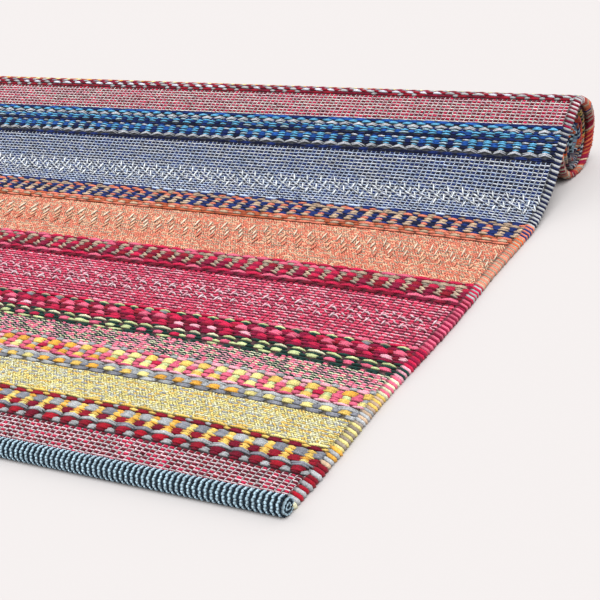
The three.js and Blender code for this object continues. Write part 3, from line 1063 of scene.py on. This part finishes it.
@dataclass
class Ground:
    """The sheet of cloth itself, on which the stitches stand."""

    lie: Lie
    chart: Chart
    columns: int = 28
    row_step: float = 4.0
    edge_inset: float = 1.6
    face: float = 5.0
    hem_depth: float = 14.0
    hem_half_height: float = 4.9
    hem_inset: float = 1.3
    hem_middle: float = 6.25
    # The back of the cloth is painted darker than its face, as painted shade on the side turned from the
    # light.
    back_painted_shade: float = 0.6
    edge_crowding: float = 1.35
    edge_taper: float = 4.0
    edge_gain: float = 0.45
    edge_share: float = 0.55
    far_inset: float = 0.1

    def _levels(self, along: np.ndarray) -> tuple[np.ndarray, np.ndarray]:
        """The levels of the face and the back, with the near hem's tube."""
        half = self.hem_depth / 2
        round_ = np.sqrt(np.clip(1 - ((along - half) / half) ** 2, 0, 1)) * self.hem_half_height
        in_hem = along < self.hem_depth
        tube = self.hem_middle + round_
        rolled = np.where(along < half, tube, np.maximum(tube, self.face))
        face = np.where(in_hem, rolled, self.face)
        back = np.where(along < half, self.hem_middle - round_, 0.0)
        return face, back

    def build(self) -> bpy.types.Object:
        """Makes the closed sheet.

        Returns:
            The sheet, laid and dressed with its colours.
        """
        rows = int(self.lie.length / self.row_step)
        made = bmesh.new()
        bmesh.ops.create_grid(made, x_segments=self.columns, y_segments=rows, size=1.0)
        bmesh.ops.solidify(made, geom=list(made.faces), thickness=1.0)
        middle = sum(vert.co.z for vert in made.verts) / len(made.verts)
        mesh = bpy.data.meshes.new("ground_cloth")
        made.to_mesh(mesh)
        made.free()
        points = np.zeros(len(mesh.vertices) * 3, np.float32)
        mesh.vertices.foreach_get("co", points)
        x, y, z = points.reshape(-1, 3).T.astype(float)
        half = self.lie.width / 2 - self.edge_inset
        spread = np.sign(x) * (1 - (1 - np.abs(x)) ** self.edge_crowding)
        across = spread * half
        share = (y + 1) / 2
        along = np.clip(share * self.lie.length, self.hem_inset, self.lie.length - self.far_inset)
        face, back = self._levels(along)
        centre = (face + back) / 2
        from_edge = np.clip((half - np.abs(across)) / self.edge_taper, 0, 1)
        thin = from_edge * self.edge_gain + self.edge_share
        is_face = z > middle
        level = centre + np.where(is_face, 1, -1) * (face - back) / 2 * thin
        laid = self.lie.lay(across, along, level)
        mesh.vertices.foreach_set("co", laid.astype(np.float32).ravel())
        mesh.update()
        self._colour(mesh, across, along, is_face)
        piece = bpy.data.objects.new("ground_cloth", mesh)
        bpy.context.scene.collection.objects.link(piece)
        self._outward(piece)
        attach(piece, BODY)
        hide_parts(NODE)
        log.info("ground_cloth: %d faces", len(mesh.polygons))
        return piece

    @staticmethod
    def _outward(piece: bpy.types.Object) -> None:
        """Turns all the faces outwards and makes them smooth."""
        mesh = bmesh.new()
        mesh.from_mesh(piece.data)
        bmesh.ops.recalc_face_normals(mesh, faces=mesh.faces)
        for face in mesh.faces:
            face.smooth = True
        mesh.to_mesh(piece.data)
        mesh.free()

    def _colour(
        self, mesh: bpy.types.Mesh, across: np.ndarray, along: np.ndarray, is_face: np.ndarray,
    ) -> None:
        """Gives each point its dye, darkened by painted shade, and each corner its place on the woven cloth.

        Args:
            mesh: the sheet's mesh.
            across: each point's distance from the middle of the cloth, in mm.
            along: each point's distance from the near hem, in mm.
            is_face: whether each point is on the face.
        """
        table = np.zeros((len(along), 4), np.float32)
        table[:, 3] = 1
        steps = np.round(along, 1)
        shades = {}
        ground_painted_shades = {}
        for step in np.unique(steps):
            first, second = self.chart.edge_colours(float(step))
            shades[step] = 0.5 * (first.linear + second.linear)
            ground_painted_shades[step] = self.chart.ground_painted_shade_at(float(step))
        mixed = np.array([shades[step] for step in steps])
        # Painted shade: the face of the sheet is darkened where it lies in the gaps between the stitches.
        depth = np.array([ground_painted_shades[step] for step in steps])
        # The back is darkened as painted shade.
        table[:, :3] = mixed * np.where(is_face, depth, self.back_painted_shade)[:, None]
        layer = mesh.color_attributes.new(name="dye", type="FLOAT_COLOR", domain="POINT")
        layer.data.foreach_set("color", table.ravel())
        corners = np.zeros(len(mesh.loops), np.int32)
        mesh.loops.foreach_get("vertex_index", corners)
        flat = np.stack([across, along], axis=-1)[corners] * METRES
        cloth = mesh.uv_layers.new(name="cloth")
        cloth.data.foreach_set("uv", flat.astype(np.float32).ravel())


@dataclass
class Selvedges:
    """The wefts that turn round the two long edges, as a ridged cord."""

    loom: Loom
    chart: Chart
    rng: np.random.Generator
    crowding: float = 1.2
    inset: float = 4.2
    half_thickness: float = 2.5
    thickness: float = 1.9
    start: float = 14.5
    first_angle: float = 142.0
    last_angle: float = -150.0
    lean: float = 3.4
    rolled_lean: float = 5.2
    inner_lean: float = 2.4
    # Painted shade in the core of the roll: the wraps of the inner turns are darkened.
    inner_painted_shade: float = 0.56
    inner_gap: float = 0.45
    inner_starts: tuple[float, float] = (830.0, 960.0)
    # Painted shade in the gaps between the wraps: each wrap darkens towards its two ends.
    painted_end_shade: float = 0.72
    flecks_start: float = 690.0
    fleck_share: float = 0.3
    flecks: tuple[Yarn, ...] = (
        Yarn.WINE, Yarn.RUST, Yarn.BEIGE, Yarn.MIDNIGHT, Yarn.SAND, Yarn.ORANGE,
    )
    lean_places: tuple[float, ...] = (650.0, 700.0, 800.0, 870.0)
    lean_from: float = 0.9
    forward: float = 1.2
    end_room: float = 4.0
    end_inset: float = 0.4
    uneven: float = 0.12
    darkest: float = 0.7
    shade_range: float = 0.5
    pitch_places: tuple[float, ...] = (56.0, 90.0, 300.0, 690.0, 760.0)
    pitches: tuple[float, ...] = (5.0, 3.6, 3.2, 3.0, 2.6)

    def build(self, side: int, name: str) -> bpy.types.Object:
        """Wraps one edge.

        Args:
            side: 1 for the right edge and -1 for the left.
            name: the piece's name.

        Returns:
            The joined wraps.
        """
        lie = self.loom.lie
        form = Form.strand(sides=5, rings=7, fullness=0.3)
        along = [self.start]
        while along[-1] < lie.length - self.end_room:
            along.append(along[-1] + self.pitch_at(along[-1]))
        along = np.array(along)
        width = np.array([self.pitch_at(step) for step in along])[:, None] * self.crowding
        u, v, w = form.points.T
        angle = np.radians(self.first_angle + (self.last_angle - self.first_angle) * (u + 1) / 2)
        size = 1 + self.uneven * self.rng.normal(0, 1, len(along))
        swell = self.thickness * w[None, :] * size[:, None]
        reach = self.inset + swell
        across = side * (lie.width / 2 - self.inset + reach * np.cos(angle))
        tight = 1 - self.inner_gap * lie.ease(along, *self.inner_starts)[:, None]
        level = lie.cloth / 2 + (self.half_thickness + swell) * np.sin(angle) * tight
        leans = (self.lean, self.rolled_lean, self.rolled_lean, self.inner_lean)
        leaning = np.interp(along, self.lean_places, leans)[:, None]
        lean = leaning * np.cos(angle - self.lean_from)[None, :]
        places = along[:, None] + v * width / 2 - lean + self.forward
        places = np.clip(places, self.end_inset, lie.length - self.end_inset)
        points = lie.lay(across, places, level)
        dye = []
        for index, step in enumerate(along):
            pair = self.chart.edge_colours(float(step))
            # Painted shade: the wraps grow darker towards the roll's core.
            shade = 1 - self.inner_painted_shade * float(lie.ease(step, *self.inner_starts))
            yarn = pair[index % 2]
            if step > self.flecks_start and self.rng.random() < self.fleck_share:
                yarn = self.flecks[int(self.rng.random() * len(self.flecks))]
            dye.append(yarn.linear * shade * (self.darkest + self.shade_range * self.rng.random()))
        return self.loom.mesh(name, form, points, np.array(dye), self.painted_end_shade)

    def pitch_at(self, along: float) -> float:
        """The distance between one turn of the weft and the next, in mm."""
        return float(np.interp(along, self.pitch_places, self.pitches))


@dataclass
class NearHem:
    """The rolled hem: columns of knots that wrap the tube, in two blues by turns."""

    loom: Loom
    rng: np.random.Generator
    middle_along: float = 7.0
    middle_level: float = 6.25
    radius_along: float = 6.1
    radius_level: float = 5.5
    column: float = 2.05
    knot: float = 2.05
    rise: float = 1.2
    first_angle: float = -62.0
    last_angle: float = 172.0
    lean: float = 2.2
    zigzag: float = 0.2
    slant: float = 0.42
    rings: int = 4
    ring_stitches: int = 15
    end_rise: float = 1.3
    # How bright the painted shade leaves the foot of each hem knot, from 0 to 1.
    depth: float = 0.6
    light_girth: float = 0.76
    dark_girth: float = 0.46
    knot_reach: float = 0.66
    first_column: float = 1.4
    jitter: float = 0.1
    lowest: float = 0.1
    darkest: float = 0.85
    shade_range: float = 0.3
    end_spread: float = 1.08
    end_inset: float = 0.3
    end_lowest: float = 0.3
    stitch_reach: float = 1.25
    stitch_width: float = 0.62

    def build(self) -> bpy.types.Object:
        """Makes the hem's knots."""
        lie = self.loom.lie
        form = Form.knot()
        mean_radius = (self.radius_along + self.radius_level) / 2
        sweep = math.radians(self.last_angle - self.first_angle)
        count = int(sweep * mean_radius / self.knot)
        columns = int(lie.width / self.column)
        column = np.arange(columns)
        across = -lie.width / 2 + self.first_column + column * self.column
        grid_across, grid_turn = np.meshgrid(across, np.arange(count), indexing="ij")
        order = np.repeat(column, count)
        centre = grid_across.ravel() + self.rng.normal(0, self.jitter, columns * count)
        share = (grid_turn.ravel() + 0.5 * (order % 2)) / count
        angle = math.radians(self.first_angle) + sweep * share
        teeth = np.where(np.tile(np.arange(count), columns) % 2, 1.0, -1.0)
        centre = centre + self.lean * (0.5 - share) + self.zigzag * teeth
        u, v, w = form.points.T
        turned = angle[:, None] + u[None, :] * (self.knot * self.knot_reach) / mean_radius
        height = self.rise * w[None, :]
        slant = self.slant * teeth[:, None] * u[None, :]
        girth = np.where(order % 2, self.light_girth, self.dark_girth)[:, None]
        place_across = centre[:, None] + v[None, :] * self.column * girth + slant
        along = self.middle_along - (self.radius_along + height) * np.cos(turned)
        level = self.middle_level + (self.radius_level + height) * np.sin(turned)
        points = lie.lay(place_across, np.maximum(along, self.lowest), level)
        pair = np.array([Yarn.INK.linear, Yarn.ICE.linear])
        shade = self.darkest + self.shade_range * self.rng.random(columns * count)
        dye = pair[order % 2] * shade[:, None]
        return self.loom.mesh("near_hem", form, points, dye, deep=self.depth)

    def curl(self, side: int, name: str) -> bpy.types.Object:
        """Makes the rings of stitches in the rolled hem's open end.

        Args:
            side: 1 for the right end and -1 for the left.
            name: the piece's name.

        Returns:
            The joined stitches.
        """
        lie = self.loom.lie
        form = Form.strand()
        u, v, w = form.points.T
        points, dye = [], []
        for ring in range(self.rings):
            radius = 1 - (ring + 0.5) / self.rings
            count = max(3, round(self.ring_stitches * radius))
            for index in range(count):
                angle = math.tau * index / count + u * math.pi / count * self.stitch_reach
                wound = (index + 0.5 + u / 2) / count
                reach = 1 - (ring + wound) / self.rings + v * self.stitch_width / self.rings
                along = self.middle_along - self.radius_along * self.end_spread * reach * np.cos(angle)
                level = self.middle_level + self.radius_level * self.end_spread * reach * np.sin(angle)
                across = side * (lie.width / 2 + self.end_rise * w - self.end_inset)
                along = np.maximum(along, self.lowest)
                points.append(lie.lay(across, along, np.maximum(level, self.end_lowest)))
                yarn = Yarn.INK if ring % 2 else Yarn.ICE
                dye.append(yarn.linear * (self.darkest + self.shade_range * self.rng.random()))
        return self.loom.mesh(name, form, np.array(points), np.array(dye))


@dataclass
class Studio:
    """A plain pale floor, soft light and the camera."""

    lie: Lie
    eye_from_right: float = 319.07
    eye_before_hem: float = 544.2
    eye_up: float = 412.9
    heading: float = 0.496744
    tilt: float = 0.408477
    roll: float = 0.0853025
    lens: float = 76.11
    sensor: float = 36.0
    floor_reach: float = 40.0
    floor_colour: tuple[float, float, float, float] = (0.505, 0.482, 0.478, 1.0)
    floor_roughness: float = 0.9
    lamp_place: tuple[float, float, float] = (0.3, -0.4, 1.0)
    lamp_softness: float = 50.0
    lamp_power: float = 3.0
    sky_power: float = 0.98

    def camera(self) -> None:
        """Places the camera at the photograph's angle."""
        data = bpy.data.cameras.new("camera")
        data.lens = self.lens
        data.sensor_width = self.sensor
        camera = bpy.data.objects.new("camera", data)
        place = np.array([
            self.lie.width / 2 + self.eye_from_right,
            -self.eye_before_hem,
            self.eye_up,
        ])
        shift = np.array([self.lie.shift[0], self.lie.shift[1], 0])
        camera.location = Vector((place + shift) * METRES)
        headed = Matrix.Rotation(self.heading, 4, "Z")
        tilted = Matrix.Rotation(math.pi / 2 - self.tilt, 4, "X")
        turned = headed @ tilted @ Matrix.Rotation(-self.roll, 4, "Z")
        camera.rotation_euler = turned.to_euler()
        bpy.context.scene.collection.objects.link(camera)
        bpy.context.scene.camera = camera

    def floor(self) -> bpy.types.Object:
        """Lays the floor."""
        made = bmesh.new()
        bmesh.ops.create_grid(made, x_segments=2, y_segments=2, size=self.floor_reach)
        mesh = bpy.data.meshes.new("floor")
        made.to_mesh(mesh)
        made.free()
        floor = bpy.data.objects.new("floor", mesh)
        bpy.context.scene.collection.objects.link(floor)
        material = bpy.data.materials.new("pale_floor")
        material.use_nodes = True
        shader = material.node_tree.nodes["Principled BSDF"]
        shader.inputs["Base Color"].default_value = self.floor_colour
        shader.inputs["Roughness"].default_value = self.floor_roughness
        shader.inputs["Specular IOR Level"].default_value = 0.0
        mesh.materials.append(material)
        return floor

    @staticmethod
    def sun(name: str, place: tuple[float, float, float], softness: float, power: float) -> None:
        """Hangs a soft, far lamp that lights everything evenly.

        Args:
            name: the lamp's name.
            place: the direction that it shines from.
            softness: how wide it looks from the rug, in degrees.
            power: its strength, in watts a square metre.
        """
        data = bpy.data.lights.new(name, "SUN")
        data.angle = math.radians(softness)
        data.energy = power
        lamp = bpy.data.objects.new(name, data)
        lamp.location = place
        lamp.rotation_euler = (-Vector(place)).to_track_quat("-Z", "Y").to_euler()
        bpy.context.scene.collection.objects.link(lamp)

    def light(self) -> None:
        """Sets the lamp and the sky."""
        self.sun("key_light", self.lamp_place, self.lamp_softness, self.lamp_power)
        world = bpy.data.worlds.new("soft_sky")
        world.use_nodes = True
        background = world.node_tree.nodes["Background"]
        background.inputs["Color"].default_value = (1, 1, 1, 1)
        background.inputs["Strength"].default_value = self.sky_power
        bpy.context.scene.world = world
        bpy.context.scene.view_settings.view_transform = "Standard"


def main() -> None:
    """Builds the rug, its stitches, its edges and the studio."""
    logging.basicConfig(level=logging.INFO, format="%(message)s")
    lie = Lie()
    chart = Chart()
    loom = Loom(lie)
    weaver = Weaver(lie)
    ground = Ground(lie, chart).build()
    ground.data.materials.append(GroundFinish().build())
    knot = Form.knot()
    strand = Form.strand()
    for stripe in chart.stripes:
        places = Places.joined([weaver.places(row) for row in stripe.rows()])
        loom.mesh(stripe.name, knot, loom.spread(knot, places), places.dye, deep=stripe.depth)
    for band in chart.bands + chart.motifs:
        places = Places.joined([weaver.places(row) for row in band.rows])
        loom.mesh(band.name, strand, loom.spread(strand, places), places.dye)
    edges = Selvedges(loom, chart, weaver.rng)
    edges.build(1, "right_selvedge")
    edges.build(-1, "left_selvedge")
    hem = NearHem(loom, weaver.rng)
    hem.build()
    hem.curl(1, "right_hem_end")
    hem.curl(-1, "left_hem_end")
    yarn = YarnFinish().build()
    for piece in loom.pieces:
        piece.data.materials.append(yarn)
    studio = Studio(lie)
    floor = studio.floor()
    studio.light()
    studio.camera()


if __name__ == "__main__":
    main()
